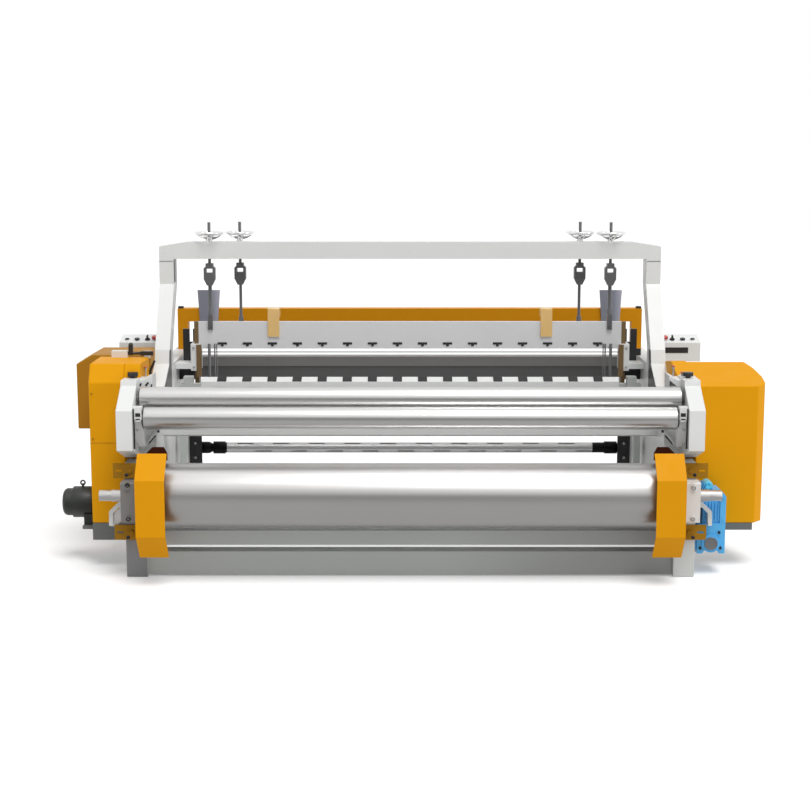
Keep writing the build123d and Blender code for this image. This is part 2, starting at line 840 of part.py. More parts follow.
rest_step = rest_top - rest_lip
rest_bottom = rest_top - rest_high
rest_bolt_count = 2 * int((frame_inner - 60) / rest_bolt_pitch) + 1
with BuildPart() as back_rest_beam:
    block(-frame_inner, frame_inner, rest_back, rest_back + rest_deep, rest_step, rest_top)
    block(-frame_inner, frame_inner, rest_back + rest_setback, rest_back + rest_deep, rest_bottom, rest_step)
    with Locations((0, back(rest_back), rest_top - 12)):
        with GridLocations(rest_bolt_pitch, 0, rest_bolt_count, 1):
            Cylinder(5, 8, rotation=(90, 0, 0))
finish(back_rest_beam, "back_rest_beam")

with BuildPart() as rear_base_beam:
    block(-frame_inner, frame_inner, frame_end - base_tie_gap - base_tie_deep, frame_end - base_tie_gap,
          base_tie_bottom, base_tie_bottom + base_tie_high)
finish(rear_base_beam, "rear_base_beam")

# Slotted rear roller between two couplings, and the plates that hold it
roller_end = frame_inner - 12
sleeve_end = roller_end - 48
left_coupling = sleeve_end - 74
right_coupling = sleeve_end - 11
barrel_left = left_coupling - 69
barrel_right = right_coupling - 72
roller_outline = [
    (-roller_end, 0),
    (-roller_end, roller_journal),
    (-sleeve_end, roller_journal),
    (-sleeve_end, coupling_radius - 2),
    (-left_coupling - 25, coupling_radius - 2),
    (-left_coupling, coupling_radius - 14),
    (-left_coupling, coupling_radius),
    (-barrel_left, coupling_radius),
    (-barrel_left, roller_radius),
    (barrel_right, roller_radius),
    (barrel_right, coupling_radius),
    (right_coupling, coupling_radius),
    (right_coupling, coupling_radius - 12),
    (sleeve_end, coupling_radius - 12),
    (sleeve_end, roller_journal),
    (roller_end, roller_journal),
    (roller_end, 0),
]
slot_shift = (barrel_right - barrel_left) / 2
slot_count = int((barrel_left + barrel_right - slot_long) / roller_pitch)
with BuildPart() as rear_roller:
    turn_across(roller_outline, roller_back, roller_high)
    for row in range(4):
        turn = 90 * row + 30
        shift = roller_pitch / 2 * (row % 2) - roller_pitch / 4
        with Locations(Location((shift + slot_shift, back(roller_back), roller_high), (turn, 0, 0))):
            with Locations((0, 0, roller_radius)):
                with GridLocations(roller_pitch, 0, slot_count, 1):
                    Box(slot_long, slot_wide, 12, mode=Mode.SUBTRACT)
finish(rear_roller, "rear_roller")

plate_inner = frame_inner - plate_wide
cheek_wide = 46.0
cheek_half = 42.0
cheek_wrap = 40.0
plate_bolt_inset = 50.0
plate_bolt_side = 31.0
plate_bolt_radius = 11.0
plate_bolt_long = 12.0
with BuildPart() as roller_brackets:
    block(plate_inner, frame_inner, plate_front, plate_front + plate_thick, plate_bottom, plate_bottom + plate_high)
    block(frame_inner - cheek_wide, frame_inner, plate_front + plate_thick, roller_back + cheek_wrap,
          roller_high - cheek_half, roller_high + cheek_half)
    cross_rod(frame_inner - cheek_wide, frame_inner, roller_back, roller_high, roller_journal + running_fit,
              Mode.SUBTRACT)
    for height in (plate_bottom + plate_bolt_inset, plate_bottom + plate_high - plate_bolt_inset):
        with Locations((frame_inner - plate_bolt_side, back(plate_front), height)):
            Cylinder(plate_bolt_radius, plate_bolt_long, rotation=(90, 0, 0))
    mirror(about=Plane.YZ)
finish(roller_brackets, "roller_brackets")

# Tapered plates on the portal, forks and guide shoes beside the heald frames
guide_rise = 108.0
guide_inset = 118.0
guide_wide = 129.0
guide_foot_inset = 129.0
guide_foot_wide = 104.0
guide_plate_thick = 10.0
guide_top = portal_top + guide_rise
guide_plate_outline = [
    (portal_half - guide_foot_inset - guide_foot_wide, portal_bottom),
    (portal_half - guide_foot_inset, portal_bottom),
    (portal_half - guide_inset, guide_top),
    (portal_half - guide_inset - guide_wide, guide_top),
]
with BuildPart() as guide_plates:
    face_plate(guide_plate_outline, portal_back - guide_plate_thick, portal_back)
    mirror(about=Plane.YZ)
finish(guide_plates, "guide_plates")

shoe_lap = 6.0
shoe_wide = 48.0
shoe_lip = 24.0
shoe_drop = 55.0
shoe_high = 146.0
shoe_web_rise = 10.0
shoe_web_high = 30.0
slide_gap = 0.3
shoe_inner = frame_half - shoe_lap
shoe_outer = shoe_inner + shoe_wide
shoe_bottom = frame_deck - shoe_drop
shoe_top = shoe_bottom + shoe_high
shoe_front = front_heald_back - shoe_lip
shoe_rear = rear_heald_back + frame_bar + shoe_lip
with BuildPart() as frame_guides:
    block(shoe_inner, shoe_outer, shoe_front, shoe_rear, shoe_bottom, shoe_top)
    block(shoe_outer, frame_inner, shoe_front, shoe_rear, shoe_bottom + shoe_web_rise,
          shoe_bottom + shoe_web_rise + shoe_web_high)
    for front in (front_heald_back, rear_heald_back):
        block(shoe_inner, stile_edge + slide_gap, front - slide_gap, front + frame_bar + slide_gap,
              shoe_bottom, shoe_top, Mode.SUBTRACT)
    mirror(about=Plane.YZ)
finish(frame_guides, "frame_guides")

fork_gap = 2.0
fork_wide = 64.0
fork_foot_wide = 24.0
fork_foot_high = 100.0
fork_drop = 120.0
fork_high = 280.0
fork_thick = 20.0
fork_slot_wide = 19.0
fork_slot_deep = 72.0
fork_tine_wide = 9.0
fork_front = shoe_rear + fork_gap
fork_outer = frame_inner - fork_foot_wide
fork_inner = fork_outer - fork_wide
fork_bottom = frame_deck - fork_drop
fork_top = fork_bottom + fork_high
fork_slot_inner = fork_inner + fork_tine_wide
with BuildPart() as fork_brackets:
    block(fork_inner, fork_outer, fork_front, fork_front + fork_thick, fork_bottom, fork_top)
    block(fork_outer, frame_inner, fork_front, fork_front + fork_thick, fork_bottom, fork_bottom + fork_foot_high)
    block(fork_slot_inner, fork_slot_inner + fork_slot_wide, fork_front, fork_front + fork_thick,
          fork_top - fork_slot_deep, fork_top, Mode.SUBTRACT)
    mirror(about=Plane.YZ)
finish(fork_brackets, "fork_brackets")

# Control consoles on the side frames, with a tilted deck for the controls
console_gap = 18.0
console_wide = 240.0
console_front = 1100.0
console_deep = 130.0
console_drop = 26.0
console_face_high = 107.0
console_tilt = 14.0
control_inset = 36.0
stop_inset = 45.0
selector_inset = 88.0
start_inset = 146.0
lamp_inset = 201.0
console_inner = frame_outer + console_gap
console_outer = console_inner + console_wide
console_bottom = frame_deck - console_drop
console_face_top = console_bottom + console_face_high
stop_x = console_inner + stop_inset
selector_x = console_inner + selector_inset
start_x = console_inner + start_inset
lamp_x = console_inner + lamp_inset
stem_radius = 6.0
bore_deep = 22.0
stem_long = 17.0
press_travel = 3.0
collar_high = 7.0
console_rear_top = console_face_top + console_deep * sin(radians(console_tilt)) / cos(radians(console_tilt))
deck_normal = (0, -sin(radians(console_tilt)), cos(radians(console_tilt)))
deck_origin = (0, back(console_front), console_face_top)
console_deck = Plane(origin=deck_origin, x_dir=(1, 0, 0), z_dir=deck_normal)


def on_deck(x, lift):
    """The place on a console's tilted deck at this x, raised along the deck's normal."""
    return console_deck.location * Location((x, control_inset, lift))


console_outline = [
    (console_front, console_bottom),
    (console_front, console_face_top),
    (console_front + console_deep, console_rear_top),
    (console_front + console_deep, console_bottom),
]
upward = (Align.CENTER, Align.CENTER, Align.MIN)
downward = (Align.CENTER, Align.CENTER, Align.MAX)
with BuildPart() as console:
    side_plate(console_outline, console_inner, console_outer)
    fillet(console.edges().filter_by(Axis.X).sort_by(Axis.Z)[2:], 6)
    block(frame_outer, console_inner, console_front + 30, console_front + 110, frame_deck - 70, frame_deck - 5)
    with Locations(on_deck(stop_x, -1)):
        Cylinder(15, collar_high + 1, align=upward)
    with Locations(on_deck(lamp_x, -1)):
        Cylinder(14, 6, align=upward)
    for x in (stop_x, selector_x, start_x):
        with Locations(on_deck(x, collar_high + 1)):
            Cylinder(stem_radius + running_fit, bore_deep + collar_high + 1, align=downward, mode=Mode.SUBTRACT)
finish_twins(console, "console")

with BuildPart() as displays:
    block(console_inner + 39, console_inner + 172, console_front - 2, console_front,
          console_bottom + 47, console_bottom + 78)
    mirror(about=Plane.YZ)
finish(displays, "displays")

# Controls: mushroom stop, turning selector, start button
with BuildPart() as stop_button:
    with Locations(on_deck(stop_x, collar_high + press_travel + 0.3)):
        Cylinder(stem_radius, stem_long + collar_high, align=downward)
        Cylinder(19, 12, align=upward)
    fillet(stop_button.faces().sort_by(Axis.Z)[-1].edges(), 5)
finish_twins(stop_button, "stop_button")

with BuildPart() as selector:
    with Locations(on_deck(selector_x, 0.3)):
        Cylinder(stem_radius, stem_long, align=downward)
        Cylinder(14, 8, align=upward)
        Box(8, 26, 26, align=upward)
finish_twins(selector, "selector")

with BuildPart() as start_button:
    with Locations(on_deck(start_x, press_travel + 0.3)):
        Cylinder(stem_radius, stem_long, align=downward)
        Cylinder(14, 7, align=upward)
    fillet(start_button.faces().sort_by(Axis.Z)[-1].edges(), 2)
finish_twins(start_button, "start_button")

# Black knobs on top of the roll brackets
with BuildPart() as side_knob:
    with Locations((knob_x, back(knob_back), bracket_top + 0.3)):
        Cylinder(knob_pin, pin_deep, align=downward)
        Cylinder(12, 8, align=upward)
    with Locations((knob_x, back(knob_back), bracket_top + 8)):
        Cylinder(knob_radius, 20, align=upward)
        with PolarLocations(knob_radius + 4, 8):
            Cylinder(7, 20, align=upward, mode=Mode.SUBTRACT)
finish_twins(side_knob, "side_knob")

# Clutch: a bearing block on the left housing, and the lever that turns in it
clutch_back = 495.0
clutch_high = left_housing_top + 20
clutch_shaft = 8.0
clutch_inner = left_housing_outer - 150
clutch_outer = left_housing_outer - 68
lever_inner = frame_outer + 40
lever_top = left_housing_top + 64
with BuildPart() as clutch_block:
    block(-clutch_outer, -clutch_inner, clutch_back - 22, clutch_back + 22, left_housing_top, clutch_high + 14)
    cross_rod(-clutch_outer + 29, -clutch_inner, clutch_back, clutch_high, clutch_shaft + running_fit, Mode.SUBTRACT)
finish(clutch_block, "clutch_block")

with BuildPart() as clutch_lever:
    cross_rod(-clutch_outer + 31, -lever_inner, clutch_back, clutch_high, clutch_shaft)
    block(4 - clutch_inner, 26 - clutch_inner, clutch_back - 9, clutch_back + 9, clutch_high - 9, lever_top)
    with Locations((15 - clutch_inner, back(clutch_back), lever_top)):
        Sphere(12)
    block(-lever_inner, -lever_inner + 65, clutch_back - 9, clutch_back + 9, clutch_high - 11, clutch_high + 11)
finish(clutch_lever, "clutch_lever")

# Front heald frame: slotted panel, clamps, stiles and foot rail
stem_top = clamp_base + clamp_high - clamp_head


def clamp_tees(front, gap, mode):
    """One row of T shapes that face the front, grown or shrunk by a gap."""
    for number in range(clamp_count):
        x = (number - (clamp_count - 1) / 2) * clamp_pitch
        block(x - clamp_wide / 2 - gap, x + clamp_wide / 2 + gap, front, front_heald_back + clamp_deep,
              stem_top - gap, clamp_base + clamp_high + gap, mode)
        block(x - clamp_stem / 2 - gap, x + clamp_stem / 2 + gap, front, front_heald_back + clamp_deep,
              clamp_base - gap, stem_top, mode)


with BuildPart() as front_panel:
    block(-frame_half, frame_half, front_heald_back, front_heald_back + frame_bar, panel_bottom, panel_top)
    clamp_tees(front_heald_back, clamp_fit, Mode.SUBTRACT)
finish(front_panel, "front_panel")

with BuildPart() as front_clamps:
    clamp_tees(front_heald_back - clamp_proud, 0, Mode.ADD)
finish(front_clamps, "front_clamps")

with BuildPart() as front_stiles:
    block(frame_half, stile_edge, front_heald_back, front_heald_back + frame_bar, foot_rail_top, panel_top)
    mirror(about=Plane.YZ)
finish(front_stiles, "front_stiles")

with BuildPart() as front_foot_rail:
    block(-front_foot_half, front_foot_half, front_heald_back, front_heald_back + frame_bar,
          foot_rail_bottom, foot_rail_top)
    for inset, radius in rod_sizes:
        x = frame_half - inset
        rod_back = front_heald_back - radius - clamp_fit
        block(x - radius - 3, x + radius + 3, rod_back - radius, front_heald_back, foot_rail_bottom, foot_rail_top)
        with Locations((x, back(rod_back), foot_rail_top)):
            Cylinder(radius, panel_bottom + rod_lap - foot_rail_top, align=upward)
    mirror(about=Plane.YZ)
finish(front_foot_rail, "front_foot_rail")

# Stop hooks: hooded straps on the panel's face that stand up over its top edge
hook_inner = frame_half - hook_inset
hook_outer = hook_inner + hook_wide
hook_bottom = panel_top - hook_drop
hook_top = panel_top + hook_rise
hook_front = front_heald_back - hook_sheet
hook_rear = front_heald_back + hook_reach
hood_bottom = rear_rail_top + lift_travel + hook_clear
with BuildPart() as stop_hooks:
    block(hook_inner, hook_outer, hook_front, front_heald_back, hook_bottom, hook_top)
    block(hook_inner, hook_outer, hook_front, hook_rear, hook_top - hook_sheet, hook_top)
    block(hook_inner, hook_inner + hook_sheet, hook_front, hook_rear, hood_bottom, hook_top)
    block(hook_inner, hook_outer, hook_rear - hook_sheet, hook_rear, hood_bottom, hook_top)
    fillet(stop_hooks.edges().filter_by(Axis.X).group_by(Axis.Z)[-1], 4)
    mirror(about=Plane.YZ)
finish(stop_hooks, "stop_hooks")


def hanger(x, middle, rail_top, radius, sleeve):
    """Add one hanger: clevis over the rail, rod, yoke with a see-through window, adjusting screw."""
    front = middle - yoke_deep / 2
    rear = middle + yoke_deep / 2
    clevis_bottom = rail_top - clevis_grip
    clevis_top = rail_top + clevis_rise
    half = clevis_wide / 2
    window_top = yoke_top - window_drop + window_high
    face_plate([(x - half, clevis_bottom), (x + half, clevis_bottom), (x + half, clevis_top - 14),
                (x + radius, clevis_top), (x - radius, clevis_top), (x - half, clevis_top - 14)], front, rear)
    block(x - half, x + half, middle - frame_bar / 2, middle + frame_bar / 2,
          clevis_bottom, rail_top, Mode.SUBTRACT)
    with Locations((x, back(front), rail_top - clevis_grip / 2)):
        Cylinder(7, 8, rotation=(90, 0, 0))
    with Locations((x, back(middle), clevis_top)):
        Cylinder(radius, yoke_bottom - clevis_top, align=upward)
        Cylinder(radius + sleeve, sleeve_high, align=upward)
    half = yoke_wide / 2
    neck = yoke_neck / 2
    foot = yoke_foot / 2
    face_plate([(x - foot, yoke_bottom), (x + foot, yoke_bottom), (x + half, yoke_bottom + yoke_taper),
                (x + half, yoke_top - neck_high - yoke_chamfer), (x + half - yoke_chamfer, yoke_top - neck_high),
                (x + neck, yoke_top - neck_high), (x + neck, yoke_top), (x - neck, yoke_top),
                (x - neck, yoke_top - neck_high), (x - half + yoke_chamfer, yoke_top - neck_high),
                (x - half, yoke_top - neck_high - yoke_chamfer), (x - half, yoke_bottom + yoke_taper)],
               front, rear)
    block(x - window_wide / 2, x + window_wide / 2, front, rear, window_top - window_high, window_top,
          Mode.SUBTRACT)
    with Locations((x, back(middle), window_top)):
        Cylinder(screw_radius, screw_top - window_top, align=upward)


with BuildPart() as front_hangers:
    hanger(front_hanger_x, front_heald_mid, panel_top, hanger_radius, 3)
    mirror(about=Plane.YZ)
finish(front_hangers, "front_hangers")

# Rear heald frame in one piece, and its hangers
heald_bar_high = rear_rail_bottom - 33
with BuildPart() as rear_heald_frame:
    block(-frame_half, frame_half, rear_heald_back, rear_heald_back + frame_bar, rear_rail_bottom, rear_rail_top)
    for side in (-1, 1):
        block(side * frame_half, side * stile_edge, rear_heald_back, rear_heald_back + frame_bar,
              foot_rail_top, rear_rail_top)
    block(-rear_foot_half, rear_foot_half, rear_heald_back, rear_heald_back + frame_bar,
          foot_rail_bottom, foot_rail_top)
    cross_rod(-frame_half, frame_half, rear_heald_mid, heald_bar_high, 3)
finish(rear_heald_frame, "rear_heald_frame")

with BuildPart() as rear_hangers:
    hanger(rear_hanger_x, rear_heald_mid, rear_rail_top, screw_radius, 5)
    mirror(about=Plane.YZ)
finish(rear_hangers, "rear_hangers")


def handwheel(x, distance, node):
    """A dished wheel with open spokes that turns on an adjusting screw, just clear of the gantry."""
    seat = gantry_top + seat_gap
    bore = screw_radius + running_fit
    with BuildPart() as wheel:
        with BuildSketch(Plane.XZ.offset(-back(distance))) as section:
            with BuildLine():
                Line((x + bore, seat), (x + hub_radius, seat))
                Line((x + hub_radius, seat), (x + hub_radius, seat + hub_high / 3))
                Spline((x + hub_radius, seat + hub_high / 3), (x + wheel_radius * 0.7, seat + wheel_rise / 2),
                       (x + wheel_radius, seat + wheel_rise - 4))
                Line((x + wheel_radius, seat + wheel_rise - 4), (x + wheel_radius, seat + wheel_rise + 3))
                Spline((x + wheel_radius, seat + wheel_rise + 3), (x + wheel_radius * 0.66, seat + wheel_rise / 2 + 5),
                       (x + hub_radius, seat + hub_high))
                Line((x + hub_radius, seat + hub_high), (x + bore, seat + hub_high))
                Line((x + bore, seat + hub_high), (x + bore, seat))
            make_face()
        revolve(section.sketch, axis=Axis((x, back(distance), 0), (0, 0, 1)))
        with BuildSketch(Plane(origin=(x, back(distance), seat))) as windows:
            Circle(wheel_radius - rim_radius + 1)
            Circle(hub_radius, mode=Mode.SUBTRACT)
            with PolarLocations(0, spoke_count):
                Rectangle(wheel_radius, spoke_wide, align=(Align.MIN, Align.CENTER), mode=Mode.SUBTRACT)
        extrude(windows.sketch, amount=wheel_rise + rim_radius, mode=Mode.SUBTRACT)
        with Locations((x, back(distance), seat + wheel_rise)):
            Torus(wheel_radius, rim_radius)
    finish(wheel, node)


handwheel(front_hanger_x, front_heald_mid, "front_handwheel_right")
handwheel(-front_hanger_x, front_heald_mid, "front_handwheel_left")
handwheel(rear_hanger_x, rear_heald_mid, "rear_handwheel_right")
handwheel(-rear_hanger_x, rear_heald_mid, "rear_handwheel_left")


def lift_arms(middle, pivot, x_start):
    """Levers that push one heald frame up: stub shaft, arm and roller on either side."""
    with BuildPart() as levers:
        side_plate([(middle, lift_roller_high - 11), (middle, lift_roller_high + 11),
                    (pivot, lift_pivot_high + 20), (pivot, lift_pivot_high - 20)],
                   x_start, x_start + lift_arm_thick)
        cross_rod(x_start, x_start + lift_arm_thick, middle, lift_roller_high, lift_roller_radius)
        cross_rod(x_start, x_start + lift_arm_thick, pivot, lift_pivot_high, lift_hub_radius)
        cross_rod(x_start, frame_outer + shaft_end, pivot, lift_pivot_high, lift_shaft_radius)
        mirror(about=Plane.YZ)
    return levers


lift_arms_front = lift_arms(front_heald_mid, front_pivot_back, front_foot_half - lift_arm_gap - lift_arm_thick)
finish(lift_arms_front, "lift_arms_front")
lift_arms_rear = lift_arms(rear_heald_mid, rear_pivot_back, rear_foot_half - 2 * lift_arm_gap - lift_arm_thick)
finish(lift_arms_rear, "lift_arms_rear")

# Sley: race board with its wire guides, on two swords that rock about a shaft
board_outline = [
    (board_back, board_bottom),
    (board_back, board_front_top),
    (board_back + board_deep, board_rear_top),
    (board_back + board_deep, board_bottom),
]
with BuildPart() as race_board:
    side_plate(board_outline, -board_half, board_half)
finish(race_board, "race_board")

guide_outline = [
    (board_back, board_front_top),
    (board_back, board_front_top + guide_thick),
    (board_back + board_deep, board_rear_top + guide_thick),
    (board_back + board_deep, board_rear_top),
]
with BuildPart() as wire_guides:
    for number in range(clamp_count):
        x = (number - (clamp_count - 1) / 2) * clamp_pitch
        side_plate(guide_outline, x - clamp_wide / 2, x + clamp_wide / 2)
finish(wire_guides, "wire_guides")

sley_beam_bottom = board_bottom - sley_beam_high
cap_inner = board_half + 42
cap_outer = sword_inner + 11
with BuildPart() as sley_rocker:
    cross_rod(-frame_outer - shaft_end, frame_outer + shaft_end, rocker_back, rocker_high, rocker_radius)
    block(-sword_inner, sword_inner, board_back + 5, board_back + board_deep - 5, sley_beam_bottom, board_bottom)
    for side in (-1, 1):
        inner, outer = sorted((side * sword_inner, side * sword_outer))
        side_plate([(rocker_back - 40, rocker_high), (rocker_back + 40, rocker_high),
                    (board_back + board_deep, board_bottom), (board_back + board_deep, board_bottom + 50),
                    (board_back - 20, board_bottom + 50), (board_back - 20, board_bottom - 60)], inner, outer)
        cross_rod(inner, outer, rocker_back, rocker_high, rocker_hub)
        block(side * board_half, side * sword_inner, board_back, board_back + board_deep,
              board_bottom, board_bottom + 50)
        block(side * cap_inner, side * cap_outer, board_back - 20, board_back + board_deep,
              board_bottom, board_rear_top + 8)
finish(sley_rocker, "sley_rocker")
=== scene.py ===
from math import cos, pi, radians, sin

import bmesh
import bpy
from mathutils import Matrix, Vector


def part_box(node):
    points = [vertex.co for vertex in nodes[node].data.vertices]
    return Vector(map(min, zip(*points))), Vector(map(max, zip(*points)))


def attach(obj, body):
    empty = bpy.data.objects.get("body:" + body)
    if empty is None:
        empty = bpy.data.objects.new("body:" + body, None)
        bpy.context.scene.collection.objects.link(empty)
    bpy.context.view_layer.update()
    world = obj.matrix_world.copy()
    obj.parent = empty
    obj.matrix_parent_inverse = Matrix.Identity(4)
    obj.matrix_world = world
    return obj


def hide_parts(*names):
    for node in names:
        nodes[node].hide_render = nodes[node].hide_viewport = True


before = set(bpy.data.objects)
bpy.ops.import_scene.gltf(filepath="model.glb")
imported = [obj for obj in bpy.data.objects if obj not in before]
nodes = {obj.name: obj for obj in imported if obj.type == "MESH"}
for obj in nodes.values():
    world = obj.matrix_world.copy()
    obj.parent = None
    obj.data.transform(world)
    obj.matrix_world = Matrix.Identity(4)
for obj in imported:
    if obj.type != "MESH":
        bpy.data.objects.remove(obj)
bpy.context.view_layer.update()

# Camera: a long lens, a little to the left of the middle, looking down at the operator's side
leg_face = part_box("side_frame_right")[0].y - 0.12
camera_place = (-0.027, leg_face - 7.7062, 2.0946)
camera_pitch = radians(80.93)
lens_mm = 71.11


def add_camera():
    data = bpy.data.cameras.new("camera")
    data.lens = lens_mm
    data.sensor_width = 36.0
    data.clip_end = 100.0
    camera = bpy.data.objects.new("camera", data)
    camera.location = camera_place
    camera.rotation_euler = (camera_pitch, 0, 0)
    bpy.context.scene.collection.objects.link(camera)
    bpy.context.scene.camera = camera


# Light: one wide soft sun from above the operator, an even sky, and a grey flag that only gloss sees
def add_sun(name, elevation, turn, strength, angle):
    """A sun that shines from this elevation, turned away from the operator's side about the vertical."""
    data = bpy.data.lights.new(name, "SUN")
    data.energy = strength
    data.angle = radians(angle)
    lamp = bpy.data.objects.new(name, data)
    source = Vector((sin(radians(turn)) * cos(radians(elevation)), -cos(radians(turn)) * cos(radians(elevation)),
                     sin(radians(elevation))))
    lamp.rotation_euler = source.to_track_quat("Z", "Y").to_euler()
    bpy.context.scene.collection.objects.link(lamp)


def add_flag(name, near, far, low, high, half, level):
    """A grey card before the rolls that only their gloss sees, from its near edge to its far one."""
    mesh = bpy.data.meshes.new(name)
    corners = [(-half, near, low), (half, near, low), (half, far, high), (-half, far, high)]
    mesh.from_pydata(corners, [], [(0, 1, 2, 3)])
    flag = bpy.data.objects.new(name, mesh)
    bpy.context.scene.collection.objects.link(flag)
    material, tree, shader = new_material(name)
    shader.inputs["Base Color"].default_value = (0, 0, 0, 1)
    shader.inputs["Roughness"].default_value = 1.0
    shader.inputs["Specular IOR Level"].default_value = 0.0
    shader.inputs["Emission Color"].default_value = (level, level, level, 1)
    shader.inputs["Emission Strength"].default_value = 1.0
    mesh.materials.append(material)
    flag.visible_camera = False
    flag.visible_diffuse = False
    flag.visible_shadow = False
    flag.visible_transmission = False


def add_world(fill):
    """White where the camera, a gloss or glass looks at it, and a plain level of fill elsewhere."""
    world = bpy.data.worlds.new("studio")
    world.use_nodes = True
    bpy.context.scene.world = world
    tree = world.node_tree
    background = tree.nodes["Background"]
    path = tree.nodes.new("ShaderNodeLightPath")
    seen = add_math(tree, "MAXIMUM", path.outputs["Is Camera Ray"], path.outputs["Is Glossy Ray"])
    seen = add_math(tree, "MAXIMUM", seen, path.outputs["Is Transmission Ray"])
    strength = tree.nodes.new("ShaderNodeMapRange")
    tree.links.new(seen, strength.inputs["Value"])
    strength.inputs["To Min"].default_value = fill
    strength.inputs["To Max"].default_value = 1.0
    tree.links.new(strength.outputs["Result"], background.inputs["Strength"])
    background.inputs["Color"].default_value = (1, 1, 1, 1)


def add_math(tree, operation, first, second):
    node = tree.nodes.new("ShaderNodeMath")
    node.operation = operation
    for socket, value in zip(node.inputs, (first, second)):
        if isinstance(value, (int, float)):
            socket.default_value = value
        else:
            tree.links.new(value, socket)
    return node.outputs[0]


def add_floor():
    bpy.ops.mesh.primitive_plane_add(size=60, location=(0, 0, -0.0005))
    floor = bpy.context.object
    floor.name = "studio_floor"
    material = bpy.data.materials.new("studio_floor")
    material.use_nodes = True
    tree = material.node_tree
    shader = tree.nodes["Principled BSDF"]
    shader.inputs["Base Color"].default_value = (0.80, 0.80, 0.80, 1)
    shader.inputs["Roughness"].default_value = 0.9
    shader.inputs["Specular IOR Level"].default_value = 0.1
    path = tree.nodes.new("ShaderNodeLightPath")
    seen = add_math(tree, "MAXIMUM", path.outputs["Is Camera Ray"], path.outputs["Is Glossy Ray"])
    seen = add_math(tree, "MAXIMUM", seen, path.outputs["Is Transmission Ray"])
    shader.inputs["Emission Color"].default_value = (1, 1, 1, 1)
    glow = add_math(tree, "MULTIPLY", seen, 0.24)
    tree.links.new(glow, shader.inputs["Emission Strength"])
    floor.data.materials.append(material)


# Materials
def new_material(name):
    material = bpy.data.materials.new(name)
    material.use_nodes = True
    return material, material.node_tree, material.node_tree.nodes["Principled BSDF"]


def add_noise(tree, scale, detail=3.0, stretch=(1, 1, 1)):
    place = tree.nodes.new("ShaderNodeTexCoord")
    mapping = tree.nodes.new("ShaderNodeMapping")
    mapping.inputs["Scale"].default_value = stretch
    noise = tree.nodes.new("ShaderNodeTexNoise")
    noise.inputs["Scale"].default_value = scale
    noise.inputs["Detail"].default_value = detail
    tree.links.new(place.outputs["Object"], mapping.inputs["Vector"])
    tree.links.new(mapping.outputs["Vector"], noise.inputs["Vector"])
    return noise.outputs["Fac"]


def add_range(tree, value, low, high, from_low=0.3, from_high=0.7):
    node = tree.nodes.new("ShaderNodeMapRange")
    node.inputs["From Min"].default_value = from_low
    node.inputs["From Max"].default_value = from_high
    node.inputs["To Min"].default_value = low
    node.inputs["To Max"].default_value = high
    tree.links.new(value, node.inputs["Value"])
    return node.outputs["Result"]


def add_mix(tree, factor, first, second):
    node = tree.nodes.new("ShaderNodeMix")
    node.data_type = "RGBA"
    tree.links.new(factor, node.inputs["Factor"])
    node.inputs["A"].default_value = (*first, 1)
    node.inputs["B"].default_value = (*second, 1)
    return node.outputs["Result"]


def add_bump(tree, shader, height, strength, distance):
    bump = tree.nodes.new("ShaderNodeBump")
    bump.inputs["Strength"].default_value = strength
    bump.inputs["Distance"].default_value = distance
    tree.links.new(height, bump.inputs["Height"])
    tree.links.new(bump.outputs["Normal"], shader.inputs["Normal"])


def add_place(tree, axis):
    """The object's own coordinate along one axis, in metres."""
    place = tree.nodes.new("ShaderNodeTexCoord")
    split = tree.nodes.new("ShaderNodeSeparateXYZ")
    tree.links.new(place.outputs["Object"], split.inputs[0])
    return split.outputs["XYZ".index(axis)]


def repaint(material, factor, colour):
    """Lay a second colour over a paint, where the factor is 1."""
    tree = material.node_tree
    shader = tree.nodes["Principled BSDF"]
    under = shader.inputs["Base Color"].links[0].from_socket
    node = tree.nodes.new("ShaderNodeMix")
    node.data_type = "RGBA"
    tree.links.new(factor, node.inputs["Factor"])
    tree.links.new(under, node.inputs["A"])
    node.inputs["B"].default_value = (*colour, 1)
    tree.links.new(node.outputs["Result"], shader.inputs["Base Color"])
    return material


def shade(colour, factor):
    return tuple(channel * factor for channel in colour)


def enamel(name, colour, roughness=0.38, coat=0.25, cloud=0.05, peel=0.25, specular=0.5):
    """Sprayed paint: slow tone clouds, roughness that wanders, orange peel."""
    material, tree, shader = new_material(name)
    clouds = add_noise(tree, 3.0, 4.0)
    tone = add_mix(tree, clouds, shade(colour, 1 - cloud), shade(colour, 1 + cloud))
    tree.links.new(tone, shader.inputs["Base Color"])
    wander = add_noise(tree, 14.0, 3.0)
    tree.links.new(add_range(tree, wander, roughness - 0.05, roughness + 0.07), shader.inputs["Roughness"])
    shader.inputs["Specular IOR Level"].default_value = specular
    shader.inputs["Coat Weight"].default_value = coat
    shader.inputs["Coat Roughness"].default_value = 0.2
    add_bump(tree, shader, add_noise(tree, 260.0, 2.0), peel, 0.0006)
    return material


def turned_steel(name, colour, roughness=0.3, groove=0.3):
    """Ground steel whose fine marks run round an axis that lies across the machine."""
    material, tree, shader = new_material(name)
    shader.inputs["Metallic"].default_value = 1.0
    rings = add_noise(tree, 220.0, 4.0, (1, 0.02, 0.02))
    bands = add_noise(tree, 5.0, 3.0, (1, 0.05, 0.05))
    tone = add_mix(tree, bands, shade(colour, 0.98), shade(colour, 1.015))
    tree.links.new(tone, shader.inputs["Base Color"])
    tree.links.new(add_range(tree, rings, roughness - 0.015, roughness + 0.02), shader.inputs["Roughness"])
    add_bump(tree, shader, rings, groove, 0.00004)
    return material


